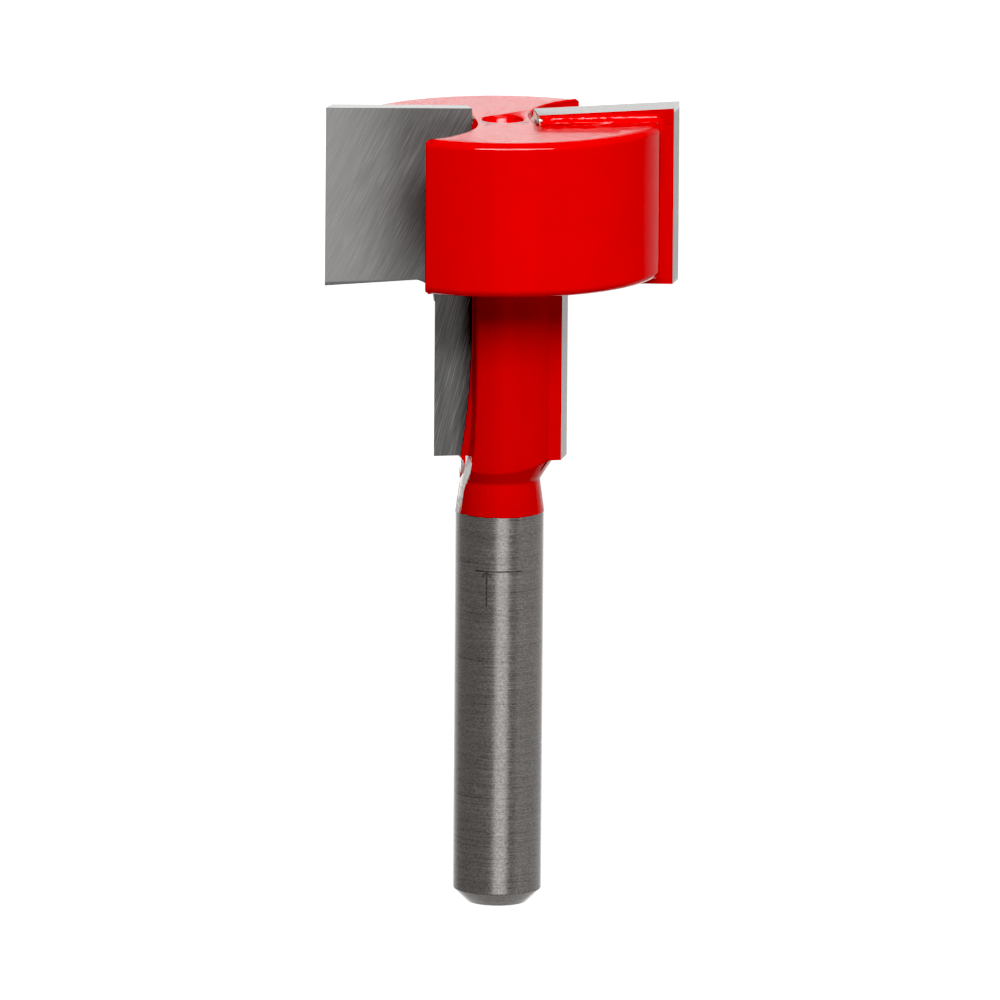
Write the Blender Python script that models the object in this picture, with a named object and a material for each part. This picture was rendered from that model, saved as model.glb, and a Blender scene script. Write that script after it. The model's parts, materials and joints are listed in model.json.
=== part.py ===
# T-slot router bit: a steel body with two large and two small brazed carbide cutters
# The bit is modelled upright, shank end at the origin and cutting end up, then laid down at rest
# Seen from the cutting end it turns anticlockwise, so each cutter leads with its flat face

import math

import bmesh
import bpy
from mathutils import Matrix, Vector

# Shank and neck, in metres
shank_diameter = 0.00635
shank_length = 0.0284
shank_chamfer = 0.0010
waist_diameter = 0.00567
waist_rise = 0.00235  # shank top to the waist
waist_round = 0.0005
shoulder_slope = 0.64  # growth in radius for each unit of height above the waist
foot_rise = 0.0016  # waist to the foot of the small cutters
neck_length = 0.01322  # foot of the small cutters to the underside of the head
land_radius = 0.0042  # outer surface behind each small cutter
land_shift = (0.0003, 0.00075)  # its centre, off the axis, so it falls away behind the edge

# Head
head_height = 0.01115
lobe_radius = 0.01144
lobe_shift = (0.0005, 0.00158)
edge_radius = 0.0006  # round on the rim of each lobe
corner_radius = 0.0007  # round where a lobe meets the cutter's back
centre_hole_diameter = 0.0030
centre_hole_depth = 0.0042
drill_point_angle = 118.0

# Chip gullets
gullet_radius = 0.0076  # end mill that cuts the gullets of the head
gullet_floor = 0.00196  # nearest point of a gullet to the axis
gullet_lead = 0.0005  # its centre, in front of the cutting face
neck_gullet_floor = 0.00201
neck_gullet_lean = 4.1  # degrees off square to the cutting face
neck_wheel_radius = 0.0273  # disc cutter that runs out towards the shank
neck_wheel_height = 0.0037  # start of the run-out, above the foot of the small cutters
seat_relief_floor = 0.00247  # recess under the foot of the second small cutter
seat_relief_drop = 0.00065  # straight part of the recess, below the foot
seat_relief_radius = 0.0015

# Carbide cutters
face_offset = 0.0003  # cutting faces, behind the axis
cutter_thickness = 0.0020
large_cutting_diameter = 0.0254
large_inner_end = 0.00218
large_front_overhang = 0.00108  # past the head's end face
large_back_overhang = 0.00067  # past the head's underside
large_front_dish = 1.66  # degrees, end edge falling towards the axis
large_back_dish = 2.3
large_side_relief = 19.0
end_relief = 4.0
small_cutting_diameter = 0.009525
small_inner_end = 0.00206
small_top_gap = 0.0001  # between a small cutter and the large one above it
small_side_relief = 17.0
small_end_sweep_radius = 0.057  # curve of the small cutter's inner end
small_end_sweep_height = 0.00905  # its start, above the foot

# Brazed joints
braze_gap = 0.0001  # between a cutter and its seat
braze_clearance = 0.00001  # between the solder and the surfaces it wets
large_fillet = 0.0004  # along the back of each large cutter
bead_width = 0.00012  # solder that stands up at the inner end of each large cutter
bead_height = 0.00072
foot_fillet_width = 0.00038  # under each small cutter
foot_fillet_sag = 0.00003

# Fineness of the curves
round_segments = 96
rim_steps = 5
round_steps = 5
lobe_steps = 40
corner_steps = 4
gullet_steps = 18
sweep_steps = 12

# Densities in kg per cubic metre, for the resting pose
steel_density = 7850.0
carbide_density = 14900.0
solder_density = 9400.0
resting_side = Vector((0.73, 0.66, -0.15))  # side of the upright bit that meets the floor

shank_radius = shank_diameter / 2
waist_radius = waist_diameter / 2
waist_z = shank_length + waist_rise
foot_z = waist_z + foot_rise
head_z = foot_z + neck_length
end_z = head_z + head_height
back_y = -face_offset - cutter_thickness  # back of the cutter on the +X side
seat_y = back_y - braze_gap
lobe_centre = Vector(lobe_shift)
land_centre = Vector(land_shift)
gullet_centre = Vector((gullet_floor + gullet_radius, gullet_lead - face_offset))
pocket_x = large_inner_end - braze_gap
large_edge_x = math.sqrt((large_cutting_diameter / 2) ** 2 - face_offset**2)
small_edge_x = math.sqrt((small_cutting_diameter / 2) ** 2 - face_offset**2)
large_bottom_z = head_z - large_back_overhang
large_top_z = end_z + large_front_overhang
merge_margin = 0.0008  # how far the neck reaches up into the head


def clear_scene():
    for obj in list(bpy.data.objects):
        bpy.data.objects.remove(obj, do_unlink=True)


def make_material(name, color, roughness, metallic):
    material = bpy.data.materials.new(name)
    material.use_nodes = True
    shader = material.node_tree.nodes["Principled BSDF"]
    shader.inputs["Base Color"].default_value = (*color, 1.0)
    shader.inputs["Roughness"].default_value = roughness
    shader.inputs["Metallic"].default_value = metallic
    return material


def add_object(name, mesh, parent, material=None):
    obj = bpy.data.objects.new(name, mesh)
    bpy.context.scene.collection.objects.link(obj)
    obj.parent = parent
    if material:
        mesh.materials.append(material)
    return obj


def add_helper(name, mesh, parent):
    helper = add_object(name, mesh, parent)
    helper.hide_render = True
    helper.display_type = "WIRE"
    return helper


def loft(name, sections):
    """A closed mesh through sections, each a loop of as many points, with flat ends."""
    bm = bmesh.new()
    loops = [[bm.verts.new(point) for point in section] for section in sections]
    count = len(loops[0])
    for lower, upper in zip(loops, loops[1:]):
        for i in range(count):
            j = (i + 1) % count
            bm.faces.new((lower[i], lower[j], upper[j], upper[i]))
    bm.faces.new(reversed(loops[0]))
    bm.faces.new(loops[-1])
    if bm.calc_volume(signed=True) < 0:
        bmesh.ops.reverse_faces(bm, faces=bm.faces)
    mesh = bpy.data.meshes.new(name)
    bm.to_mesh(mesh)
    bm.free()
    return mesh


def prism(name, outline, lower, upper):
    """An outline of (x, z) points between two values of y, each with its own shift in x."""
    sections = [[(x + shift, y, z) for x, z in outline] for y, shift in (lower, upper)]
    return loft(name, sections)


def half_turn(points):
    return [(-x, -y) for x, y in points]


def circle_distance(centre, radius, angle):
    """Distance from the axis to an off-centre circle, in the direction of the angle."""
    along = centre.x * math.cos(angle) + centre.y * math.sin(angle)
    return along + math.sqrt(along**2 - centre.length_squared + radius**2)


def land_distance(angle):
    """Outer surface of the neck: the same off-centre arc behind each small cutter."""
    if math.sin(angle) > 0:
        angle -= math.pi
    return circle_distance(land_centre, land_radius, angle)


def rounded(profile):
    """A profile of (z, radius, rounding) corners as (z, radius) points, with an arc at each rounding."""
    points = []
    for i, (z, radius, rounding) in enumerate(profile):
        here = Vector((z, radius))
        if not rounding:
            points.append(here)
            continue
        before = (Vector(profile[i - 1][:2]) - here).normalized()
        after = (Vector(profile[i + 1][:2]) - here).normalized()
        half = before.angle(after) / 2
        centre = here + (before + after).normalized() * rounding / math.sin(half)
        reach = rounding / math.tan(half)
        first = (here + before * reach - centre).normalized()
        last = (here + after * reach - centre).normalized()
        for j in range(round_steps + 1):
            points.append(centre + first.slerp(last, j / round_steps) * rounding)
    return points


def turned_mesh():
    """The blank as it leaves the lathe: shank, waist, sloping shoulder and neck."""
    blank_radius = land_shift[0] + land_radius
    shoulder_z = waist_z + (blank_radius - waist_radius) / shoulder_slope
    profile = [
        (0.0, shank_radius - shank_chamfer, 0.0),
        (shank_chamfer, shank_radius, 0.0),
        (shank_length, shank_radius, 0.0),
        (waist_z, waist_radius, waist_round),
        (shoulder_z, blank_radius, 0.0),
        (head_z + merge_margin, blank_radius, 0.0),
    ]
    angles = [2 * math.pi * i / round_segments for i in range(round_segments)]
    sections = []
    for z, radius in rounded(profile):
        sections.append([(radius * math.cos(a), radius * math.sin(a), z) for a in angles])
    return loft("turned_blank", sections)


def land_mesh():
    """What the lands leave of the neck: one arc behind each small cutter, clear of the shank."""
    angles = [2 * math.pi * i / round_segments for i in range(round_segments)]
    outline = [(land_distance(a) * math.cos(a), land_distance(a) * math.sin(a)) for a in angles]
    heights = (-merge_margin, head_z + 2 * merge_margin)
    return loft("neck_lands", [[(x, y, z) for x, y in outline] for z in heights])


def meeting_point(centre_a, radius_a, centre_b, radius_b):
    """Where two circles cross, on the left of the way from a to b."""
    way = centre_b - centre_a
    span = way.length
    along = (span**2 + radius_a**2 - radius_b**2) / (2 * span)
    aside = math.sqrt(radius_a**2 - along**2)
    unit = way / span
    return centre_a + unit * along + Vector((-unit.y, unit.x)) * aside


def arc(centre, radius, start, stop, steps):
    """Points of an arc, both ends included."""
    turns = [start + (stop - start) * i / steps for i in range(steps + 1)]
    return [(centre.x + radius * math.cos(t), centre.y + radius * math.sin(t)) for t in turns]


def angle_at(centre, point):
    return math.atan2(point.y - centre.y, point.x - centre.x)


def head_corner():
    """Centre of the round where a lobe meets the back of a large cutter."""
    y = seat_y - corner_radius
    reach = lobe_radius - corner_radius
    return Vector((lobe_centre.x + math.sqrt(reach**2 - (y - lobe_centre.y) ** 2), y))


def head_half(inset):
    """Half of the head's outline, anticlockwise, its outer wall moved in by the inset."""
    outer = lobe_radius - inset
    tip = meeting_point(-gullet_centre, gullet_radius, lobe_centre, outer)
    if tip.y > 0:
        tip = meeting_point(lobe_centre, outer, -gullet_centre, gullet_radius)
    corner = head_corner()
    touch = angle_at(lobe_centre, corner)
    outline = arc(lobe_centre, outer, angle_at(lobe_centre, tip), touch, lobe_steps)
    outline += arc(corner, corner_radius - inset, touch, math.radians(75), corner_steps)[1:]
    outline += [(corner.x, seat_y), (pocket_x, seat_y), (pocket_x, -face_offset)]
    start = math.pi + math.asin((face_offset + gullet_centre.y) / gullet_radius)
    stop = angle_at(gullet_centre, -tip)
    outline += arc(gullet_centre, gullet_radius, start, stop, gullet_steps)[:-1]
    return outline


def head_mesh():
    """The S-shaped head: its outline lofted upwards, with the rims of the lobes rounded."""
    levels = []
    for i in range(rim_steps + 1):
        turn = math.pi / 2 * i / rim_steps
        levels.append((edge_radius * (1 - math.sin(turn)), edge_radius * (1 - math.cos(turn))))
    heights = [(inset, head_z + rise) for inset, rise in levels]
    heights += [(inset, end_z - rise) for inset, rise in reversed(levels)]
    sections = []
    for inset, z in heights:
        half = head_half(inset)
        sections.append([(x, y, z) for x, y in half + half_turn(half)])
    return loft("head", sections)


def neck_wall(z):
    """Floor of the neck's gullet at this height: straight, then the arc of the disc cutter."""
    drop = max(0.0, foot_z + neck_wheel_height - z)
    return neck_gullet_floor + neck_wheel_radius - math.sqrt(neck_wheel_radius**2 - drop**2)


def small_inner_x(z):
    """Inner end of a small cutter, which sweeps outwards towards its foot."""
    drop = max(0.0, foot_z + small_end_sweep_height - z)
    sweep = small_end_sweep_radius
    return small_inner_end + sweep - math.sqrt(sweep**2 - drop**2)


def spread(start, stop, steps):
    return [start + (stop - start) * i / steps for i in range(steps + 1)]


def neck_gullet_mesh():
    top = head_z + 2 * merge_margin
    step_z = head_z + merge_margin / 8
    far_x = lobe_radius
    far_y = land_radius * 1.5
    exit_drop = math.sqrt(2 * neck_wheel_radius * (shank_radius - neck_gullet_floor))
    foot = foot_z + neck_wheel_height - exit_drop * 1.15
    wall = [(neck_wall(z), z) for z in spread(foot, foot_z + neck_wheel_height, sweep_steps)]
    inner = neck_gullet_floor - merge_margin / 4
    outline = wall + [(neck_gullet_floor, step_z), (inner, step_z), (inner, top)]
    outline += [(far_x, top), (far_x, foot)]
    slope = math.tan(math.radians(neck_gullet_lean))
    return prism("neck_gullet", outline, (-face_offset, 0.0), (far_y, (far_y + face_offset) * slope))


def neck_seat_mesh(recessed):
    """The seat of a small cutter; under the second one it runs out below the cutter's foot."""
    top = head_z + 2 * merge_margin
    floor_z = foot_z if recessed else foot_z - braze_clearance
    heights = spread(floor_z, foot_z + small_end_sweep_height, sweep_steps)
    outline = [(small_inner_x(z) - braze_gap, z) for z in heights]
    if recessed:
        relief_z = foot_z - seat_relief_drop
        centre = Vector((seat_relief_floor + seat_relief_radius, relief_z))
        relief = arc(centre, seat_relief_radius, 1.5 * math.pi, math.pi, corner_steps * 2)
        outline = relief + [(seat_relief_floor, foot_z)] + outline
    far_x = lobe_radius
    outline += [(small_inner_end - braze_gap, top), (far_x, top), (far_x, outline[0][1])]
    return prism("neck_seat", outline, (seat_y, 0.0), (0.0, 0.0))


def centre_hole_mesh():
    radius = centre_hole_diameter / 2
    cone = radius / math.tan(math.radians(drill_point_angle / 2))
    tip_radius = radius / 50
    angles = [2 * math.pi * i / 48 for i in range(48)]
    sections = []
    floor = end_z - centre_hole_depth
    for r, z in ((tip_radius, floor - cone), (radius, floor), (radius, end_z + radius)):
        sections.append([(r * math.cos(a), r * math.sin(a), z) for a in angles])
    return loft("centre_hole", sections)


def cutter_mesh(name, edge_x, relief, inner, bottom, top, dish, end_drop):
    """A cutter on the +X side: its flat face, and the same outline at its back, relieved."""
    edge = Vector((edge_x, -face_offset)).normalized()
    lean = math.radians(relief) + math.atan2(-edge.y, edge.x)
    relief_x = cutter_thickness * math.tan(lean)
    front_dish, back_dish = (math.tan(math.radians(angle)) for angle in dish)
    inner_x = [inner(z) for z in spread(bottom, top, sweep_steps)]
    low = bottom + (edge_x - inner_x[0]) * back_dish
    high = top - (edge_x - inner_x[-1]) * front_dish
    side = [(inner(z), z) for z in spread(high, low, sweep_steps)]
    face = side + [(edge_x, bottom), (edge_x, top)]
    back_side = [(inner(z), z) for z in spread(high - end_drop, low, sweep_steps)]
    back_low = bottom + relief_x * back_dish
    back_high = top - relief_x * front_dish - end_drop
    back = back_side + [(edge_x - relief_x, back_low), (edge_x - relief_x, back_high)]
    sections = [
        [(x, -face_offset, z) for x, z in face],
        [(x, back_y, z) for x, z in back],
    ]
    return loft(name, sections)


def large_cutter_mesh():
    drop = cutter_thickness * math.tan(math.radians(end_relief))
    return cutter_mesh(
        "large_cutter",
        large_edge_x,
        large_side_relief,
        lambda z: large_inner_end,
        large_bottom_z,
        large_top_z,
        (large_front_dish, large_back_dish),
        drop,
    )


def small_cutter_top():
    """Just under the large cutter's dished lower edge, at the small cutter's outer corner."""
    rise = (large_edge_x - small_edge_x) * math.tan(math.radians(large_back_dish))
    return large_bottom_z + rise - small_top_gap


def small_cutter_mesh():
    return cutter_mesh(
        "small_cutter",
        small_edge_x,
        small_side_relief,
        small_inner_x,
        foot_z,
        small_cutter_top(),
        (0.0, 0.0),
        0.0,
    )


def seam_mesh(name, inner, bottom, top, steps, stations):
    """The solder behind a cutter and round its inner end, lofted along it through the stations.

    A station is a place in x, or None at the inner end, then its y, the way into the seat,
    the depth, the fillet below, and the width and height of the fillet above.
    """
    near = braze_clearance
    heights = spread(bottom, top, steps)
    sections = []
    for x, y, away, depth, foot, width, height in stations:
        profile = [(near, bottom - foot), (near + foot * 0.3, bottom - foot * 0.4)]
        profile += [(depth + foot, bottom - near), (depth, bottom - near)]
        profile += [(depth, z) for z in heights[1:-1]]
        profile += [(depth, top + near), (depth + width, top + near)]
        profile += [(near + width * 0.3, top + height * 0.4), (near, top + height)]
        profile += [(near, z) for z in reversed(heights[1:-1])]
        section = []
        for off, z in profile:
            start = inner(z) if x is None else x
            section.append((start + away[0] * off, y + away[1] * off, z))
        sections.append(section)
    return loft(name, sections)


def large_seam_mesh():
    depth = braze_gap - braze_clearance
    rim_x = head_corner().x
    neck_x = land_centre.x + math.sqrt(land_radius**2 - (seat_y - land_centre.y) ** 2)
    thin = braze_clearance / 2
    back = (0.0, -1.0)
    stations = [
        (rim_x + corner_radius / 2, back_y, back, depth * 1.4, large_fillet / 3, large_fillet / 3, large_fillet / 2),
        (rim_x, back_y, back, depth, large_fillet, large_fillet, large_fillet),
        (neck_x + large_fillet * 2, back_y, back, depth, large_fillet, large_fillet, large_fillet),
        (neck_x, back_y, back, depth, thin, large_fillet, large_fillet),
        (None, back_y, (-1.0, -1.0), depth, thin, bead_width, bead_height * 0.8),
        (None, -face_offset, (-1.0, 0.0), depth, thin, bead_width, bead_height),
    ]
    return seam_mesh("large_seam", lambda z: large_inner_end, head_z, end_z, 1, stations)


def small_seam_mesh(recessed):
    """The solder behind and beside a small cutter, and over the recess a fillet under its foot."""
    near = braze_clearance
    depth = braze_gap - braze_clearance
    front = -face_offset
    back = back_y - depth
    rim_x = land_centre.x + math.sqrt(land_radius**2 - (seat_y - land_centre.y) ** 2) - depth
    wall_x = seat_relief_floor + near
    sections = []
    for share in spread(0.0, 1.0, corner_steps) if recessed else ():
        z = foot_z - near - seat_relief_drop * (1 - share)
        x = wall_x + near + foot_fillet_width * share - foot_fillet_sag * math.sin(math.pi * share)
        side = [(x, back + 2 * depth), (x, front), (wall_x, front), (wall_x, back), (x, back)]
        sections.append([(x, back + depth, z)] + [(a, b, z) for a, b in side])
    for z in spread(foot_z, small_cutter_top(), sweep_steps):
        x = small_inner_x(z)
        side = [(x - near, back_y - near), (x - near, front), (x - depth, front)]
        side += [(x - depth, back), (rim_x, back)]
        sections.append([(rim_x, back_y - near, z)] + [(a, b, z) for a, b in side])
    return loft("small_seam", sections)


def cut(obj, operation, other):
    modifier = obj.modifiers.new(other.name, "BOOLEAN")
    modifier.operation = operation
    modifier.solver = "EXACT"
    modifier.object = other


def build_body(parent, steel):
    body = add_object("steel_body", turned_mesh(), parent, steel)
    cut(body, "INTERSECT", add_helper("neck_lands", land_mesh(), parent))
    for side, recessed in enumerate((False, True)):
        for mesh in (neck_gullet_mesh(), neck_seat_mesh(recessed)):
            tool = add_helper(f"{mesh.name}_tool_{side + 1}", mesh, parent)
            tool.rotation_euler.z = math.pi * side
            cut(body, "DIFFERENCE", tool)
    cut(body, "UNION", add_helper("head_blank", head_mesh(), parent))
    cut(body, "DIFFERENCE", add_helper("centre_hole_tool", centre_hole_mesh(), parent))
    body.data.set_sharp_from_angle(angle=math.radians(30))
    return body


def build_pair(parent, name, meshes, material):
    """Two pieces on opposite sides of the axis, each its own object."""
    pieces = []
    for side, mesh in enumerate(meshes):
        mesh.set_sharp_from_angle(angle=math.radians(30))
        piece = add_object(f"{name}_{side + 1}", mesh, parent, material)
        piece.rotation_euler.z = math.pi * side
        pieces.append(piece)
    return pieces


def world_triangles(obj, graph):
    evaluated = obj.evaluated_get(graph)
    mesh = evaluated.to_mesh()
    mesh.calc_loop_triangles()
    points = [evaluated.matrix_world @ vertex.co for vertex in mesh.vertices]
    triangles = [tuple(points[i] for i in tri.vertices) for tri in mesh.loop_triangles]
    evaluated.to_mesh_clear()
    return points, triangles


def centre_of_mass(shapes):
    total = 0.0
    moment = Vector()
    for triangles, density in shapes:
        for a, b, c in triangles:
            mass = a.dot(b.cross(c)) / 6 * density
            total += mass
            moment += mass * (a + b + c) / 4
    return moment / total


def resting_face(points, centre):
    """Normal of the hull's face that the bit lies on: the centre of mass is over it."""
    bm = bmesh.new()
    for point in points:
        bm.verts.new(point)
    bmesh.ops.convex_hull(bm, input=bm.verts, use_existing_faces=False)
    best = None
    for face in bm.faces:
        face.normal_update()
        normal = face.normal.copy()
        corners = [vert.co for vert in face.verts]
        inside = all(
            (b - a).cross(centre - a).dot(normal) > 0
            for a, b in zip(corners, corners[1:] + corners[:1])
        )
        if inside and (best is None or normal.dot(resting_side) > best.dot(resting_side)):
            best = normal
    bm.free()
    return best


def lay_down(parent, pieces):
    """Turns the upright bit so that it lies at rest on z = 0, its cutting end towards +X."""
    bpy.context.view_layer.update()
    graph = bpy.context.evaluated_depsgraph_get()
    points = []
    shapes = []
    for piece, density in pieces:
        corners, triangles = world_triangles(piece, graph)
        points += corners
        shapes.append((triangles, density))
    down = resting_face(points, centre_of_mass(shapes))
    along = (Vector((0, 0, 1)) - down * down.z).normalized()
    turn = Matrix((along, (-down).cross(along), -down))
    laid = [turn @ point for point in points]
    low = [min(point[i] for point in laid) for i in range(3)]
    high = [max(point[i] for point in laid) for i in range(3)]
    middle = Vector(((low[0] + high[0]) / 2, (low[1] + high[1]) / 2, low[2]))
    parent.matrix_world = Matrix.Translation(-middle) @ turn.to_4x4()


def main():
    clear_scene()
    bit = bpy.data.objects.new("router_bit", None)
    bpy.context.scene.collection.objects.link(bit)
    steel = make_material("red_coated_steel", (0.72, 0.01, 0.01), 0.3, 0.0)
    carbide = make_material("ground_carbide", (0.25, 0.25, 0.24), 0.35, 1.0)
    solder = make_material("silver_solder", (0.55, 0.5, 0.42), 0.4, 1.0)
    pieces = [(build_body(bit, steel), steel_density)]
    small_seams = [small_seam_mesh(recessed) for recessed in (False, True)]
    for name, meshes, material, density in (
        ("large_cutter", [large_cutter_mesh() for _ in range(2)], carbide, carbide_density),
        ("small_cutter", [small_cutter_mesh() for _ in range(2)], carbide, carbide_density),
        ("large_braze_seam", [large_seam_mesh() for _ in range(2)], solder, solder_density),
        ("small_braze_seam", small_seams, solder, solder_density),
    ):
        pieces += [(piece, density) for piece in build_pair(bit, name, meshes, material)]
    lay_down(bit, pieces)


main()
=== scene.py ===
import json
import math

import bmesh
import bpy
from mathutils import Matrix, Vector, noise


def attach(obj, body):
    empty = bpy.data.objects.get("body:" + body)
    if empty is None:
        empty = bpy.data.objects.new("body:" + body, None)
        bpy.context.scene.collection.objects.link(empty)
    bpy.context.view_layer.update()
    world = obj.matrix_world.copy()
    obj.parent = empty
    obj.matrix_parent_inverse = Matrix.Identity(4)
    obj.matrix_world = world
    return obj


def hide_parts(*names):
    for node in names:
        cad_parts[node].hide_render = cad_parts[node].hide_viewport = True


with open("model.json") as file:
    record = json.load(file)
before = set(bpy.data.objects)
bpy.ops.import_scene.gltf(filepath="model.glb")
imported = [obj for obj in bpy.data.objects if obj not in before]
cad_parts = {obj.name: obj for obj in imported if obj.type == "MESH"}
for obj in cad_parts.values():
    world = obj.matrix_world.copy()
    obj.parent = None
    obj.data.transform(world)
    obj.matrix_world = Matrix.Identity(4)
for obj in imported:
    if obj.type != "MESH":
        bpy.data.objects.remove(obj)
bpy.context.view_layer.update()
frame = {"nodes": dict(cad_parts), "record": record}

mm = 0.001

# The bit lies on the floor. In its own frame Z runs from the shank end to the cutting end, in mm
bit = {
    "sideTurn": -129.257,  # degrees about the shank, how the bit has rolled to rest
    "shankLength": 28.4,
    "footHeight": 32.35,  # foot of the small cutters
    "headHeight": 45.57,  # underside of the head
    "endHeight": 56.72,  # end face of the head
    "faceOffset": 0.3,  # cutting faces, behind the axis
    "thickness": 2.0,  # of every cutter
    "largeInner": 2.18,  # inner end of the large cutters, from the axis
}
backY = -bit["faceOffset"] - bit["thickness"]  # back of the cutters on the +X side

shankEnd = frame["record"]["mounts"][0]
bitAlong = -Vector(shankEnd["axis"]).normalized()
floorSide = Vector((0, 1, 0))
lift = bitAlong.cross(floorSide)
roll = math.radians(bit["sideTurn"])
bitX = math.cos(roll) * floorSide + math.sin(roll) * lift
bitY = math.cos(roll) * lift - math.sin(roll) * floorSide
bitTurn = Matrix((bitX, bitY, bitAlong)).transposed()
bitPlace = Matrix.Translation(Vector(shankEnd["pos_m"])) @ bitTurn.to_4x4()
print("bit frame ready")


# Shader helpers
def feed(tree, socket, value):
    if isinstance(value, bpy.types.NodeSocket):
        tree.links.new(value, socket)
    elif socket.type == "RGBA":
        socket.default_value = (*value, 1.0)
    else:
        socket.default_value = value


def addNode(tree, kind, settings=None, inputs=None):
    node = tree.nodes.new(kind)
    for name, value in (settings or {}).items():
        setattr(node, name, value)
    for name, value in (inputs or {}).items():
        feed(tree, node.inputs[name], value)
    return node


def doMath(tree, operation, first, second=0.0, third=0.0, clamp=False):
    settings = {"operation": operation, "use_clamp": clamp}
    return addNode(tree, "ShaderNodeMath", settings, {0: first, 1: second, 2: third}).outputs[0]


def vectorMath(tree, operation, first, second):
    inputs = {0: first, 1: second}
    return addNode(tree, "ShaderNodeVectorMath", {"operation": operation}, inputs).outputs[0]


def remap(tree, value, low, high, lowOut=0.0, highOut=1.0):
    inputs = {"Value": value, "From Min": low, "From Max": high, "To Min": lowOut, "To Max": highOut}
    return addNode(tree, "ShaderNodeMapRange", {"interpolation_type": "SMOOTHSTEP"}, inputs).outputs[0]


def fadeFrom(tree, value, height, steps, *ends):
    return remap(tree, value, height + steps[0], height + steps[1], *ends)


def mixColours(tree, factor, first, second, blend="MIX"):
    settings = {"data_type": "RGBA", "blend_type": blend}
    return addNode(tree, "ShaderNodeMix", settings, {0: factor, 6: first, 7: second}).outputs[2]


def mixValues(tree, factor, first, second):
    inputs = {0: factor, 2: first, 3: second}
    return addNode(tree, "ShaderNodeMix", {"data_type": "FLOAT"}, inputs).outputs[0]


def addNoise(tree, point, scale, detail=2.0, jaggedness=0.5):
    inputs = {"Vector": point, "Scale": scale, "Detail": detail, "Roughness": jaggedness}
    return addNode(tree, "ShaderNodeTexNoise", None, inputs).outputs


def newGroup(name, inputs, outputs):
    group = bpy.data.node_groups.new(name, "ShaderNodeTree")
    for label, kind, value in inputs:
        socket = group.interface.new_socket(label, in_out="INPUT", socket_type=kind)
        if value is not None:
            socket.default_value = value
    for label, kind in outputs:
        group.interface.new_socket(label, in_out="OUTPUT", socket_type=kind)
    entry = group.nodes.new("NodeGroupInput")
    leave = group.nodes.new("NodeGroupOutput")
    return group, entry.outputs, leave.inputs


def useGroup(tree, group, inputs):
    return addNode(tree, "ShaderNodeGroup", {"node_tree": group}, inputs).outputs


def newMaterial(name):
    material = bpy.data.materials.new(name)
    material.use_nodes = True
    tree = material.node_tree
    return material, tree, tree.nodes["Principled BSDF"]


def setShader(tree, shader, values):
    for name, value in values.items():
        feed(tree, shader.inputs[name], value)


def bitPoint(tree):  # place on the bit in its own frame, in mm
    inputs = {
        "Vector": addNode(tree, "ShaderNodeTexCoord").outputs["Object"],
        "Location": bitPlace.translation,
        "Rotation": bitTurn.to_euler(),
        "Scale": (mm, mm, mm),
    }
    return addNode(tree, "ShaderNodeMapping", {"vector_type": "TEXTURE"}, inputs).outputs[0]


def splitPoint(tree, point):
    return addNode(tree, "ShaderNodeSeparateXYZ", None, {0: point}).outputs


def halfPoint(tree, point):  # the same on both sides of the axis, so a pair wears one material
    x, y, z = splitPoint(tree, point)
    side = doMath(tree, "SIGN", x)
    across = doMath(tree, "ABSOLUTE", x)
    inputs = {0: across, 1: doMath(tree, "MULTIPLY", y, side), 2: z}
    return addNode(tree, "ShaderNodeCombineXYZ", None, inputs).outputs[0]


def bumpNormal(tree, height, distance):
    inputs = {"Height": height, "Strength": 1.0, "Distance": distance}
    return addNode(tree, "ShaderNodeBump", None, inputs).outputs[0]


def faceAway(tree, normal=None):  # 0 where a surface faces the eye, 1 where it is seen edge-on
    inputs = {"Blend": 0.5}
    if normal:
        inputs["Normal"] = normal
    return addNode(tree, "ShaderNodeLayerWeight", None, inputs).outputs["Facing"]


# Long thin marks: brushing, grinding and turning lines
toolMarks = {
    "bendScale": 0.12,
    "detail": 4.0,
    "jaggedness": 0.65,
    "deepScale": 0.45,  # of the rare deep marks, against the fine ones
    "deepLimits": (0.60, 0.74),
    "spread": (0.2, 0.8),  # nearly every mark lies between these
}


def makeMarksGroup():
    group, given, out = newGroup(
        "ToolMarks",
        [
            ("Vector", "NodeSocketVector", None),
            ("Turn", "NodeSocketVector", (0.0, 0.0, 0.0)),
            ("Stretch", "NodeSocketVector", (1.0, 1.0, 1.0)),
            ("Fine", "NodeSocketFloat", 8.0),
            ("Bend", "NodeSocketFloat", 0.0),
        ],
        [("Marks", "NodeSocketFloat"), ("Deep", "NodeSocketFloat")],
    )
    bent = addNoise(group, given["Vector"], toolMarks["bendScale"], 1.0)["Color"]
    inputs = {0: bent, "Scale": given["Bend"]}
    offset = addNode(group, "ShaderNodeVectorMath", {"operation": "SCALE"}, inputs).outputs[0]
    inputs = {"Vector": vectorMath(group, "ADD", given["Vector"], offset), "Rotation": given["Turn"]}
    turned = addNode(group, "ShaderNodeMapping", {"vector_type": "TEXTURE"}, inputs).outputs[0]
    stretched = vectorMath(group, "MULTIPLY", turned, given["Stretch"])
    lines = addNoise(group, stretched, given["Fine"], toolMarks["detail"], toolMarks["jaggedness"])[0]
    group.links.new(lines, out["Marks"])
    wide = doMath(group, "MULTIPLY", given["Fine"], toolMarks["deepScale"])
    coarse = addNoise(group, stretched, wide)[0]
    group.links.new(remap(group, coarse, *toolMarks["deepLimits"]), out["Deep"])
    return group


marksGroup = makeMarksGroup()


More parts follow.
